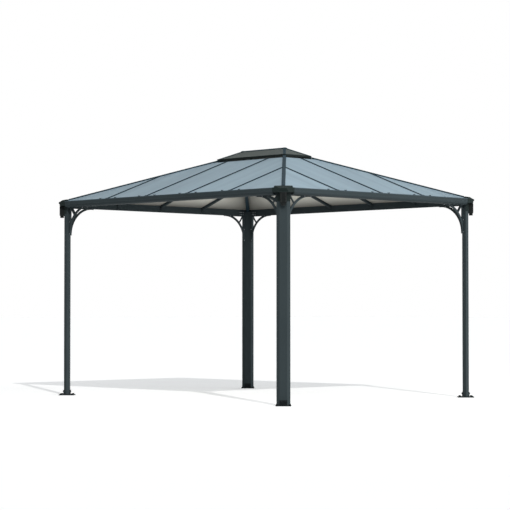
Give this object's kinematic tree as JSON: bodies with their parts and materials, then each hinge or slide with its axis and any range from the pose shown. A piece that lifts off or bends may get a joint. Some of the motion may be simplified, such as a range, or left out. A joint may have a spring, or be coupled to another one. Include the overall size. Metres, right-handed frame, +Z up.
{
  "type": "gazebo",
  "caption": "Open garden gazebo with slim dark posts, curved corner braces, rain gutters and a hip roof of twin-wall panels under a raised vent roof.",
  "frame": {"origin": "middle of the plan, at ground level", "axes": "+X along the long sides, to the right seen from the front; +Y from front to back; +Z up"},
  "size_m": [3.652, 3.002, 2.7111],
  "materials": {
    "frame": "satin powder coat, anthracite",
    "steel_foot": "satin powder coat, anthracite",
    "gutter_plastic": "moulded, slightly grained",
    "roof_panel": "twin-wall sheet, blue-grey tint",
    "vent_panel": "twin-wall sheet, smoked tint"
  },
  "bodies": {
    "root": {"front_left_post": "frame", "front_left_foot": "steel_foot", "front_left_braces": "frame", "front_left_hip_rafter": "frame", "front_left_gutter_corner": "gutter_plastic", "front_left_rain_spout": "gutter_plastic", "front_right_post": "frame", "front_right_foot": "steel_foot", "front_right_braces": "frame", "front_right_hip_rafter": "frame", "front_right_gutter_corner": "gutter_plastic", "front_right_rain_spout": "gutter_plastic", "back_right_post": "frame", "back_right_foot": "steel_foot", "back_right_braces": "frame", "back_right_hip_rafter": "frame", "back_right_gutter_corner": "gutter_plastic", "back_right_rain_spout": "gutter_plastic", "back_left_post": "frame", "back_left_foot": "steel_foot", "back_left_braces": "frame", "back_left_hip_rafter": "frame", "back_left_gutter_corner": "gutter_plastic", "back_left_rain_spout": "gutter_plastic", "front_eave_beam": "frame", "front_glazing_bars": "frame", "front_roof_panels": "roof_panel", "right_eave_beam": "frame", "right_glazing_bars": "frame", "right_roof_panels": "roof_panel", "back_eave_beam": "frame", "back_glazing_bars": "frame", "back_roof_panels": "roof_panel", "left_eave_beam": "frame", "left_glazing_bars": "frame", "left_roof_panels": "roof_panel", "vent_curb": "frame", "vent_spacers": "frame", "vent_roof_edge": "frame", "vent_roof_ridge": "frame", "vent_roof_hips": "frame", "vent_roof_panels": "vent_panel"}
  },
  "joints": []
}
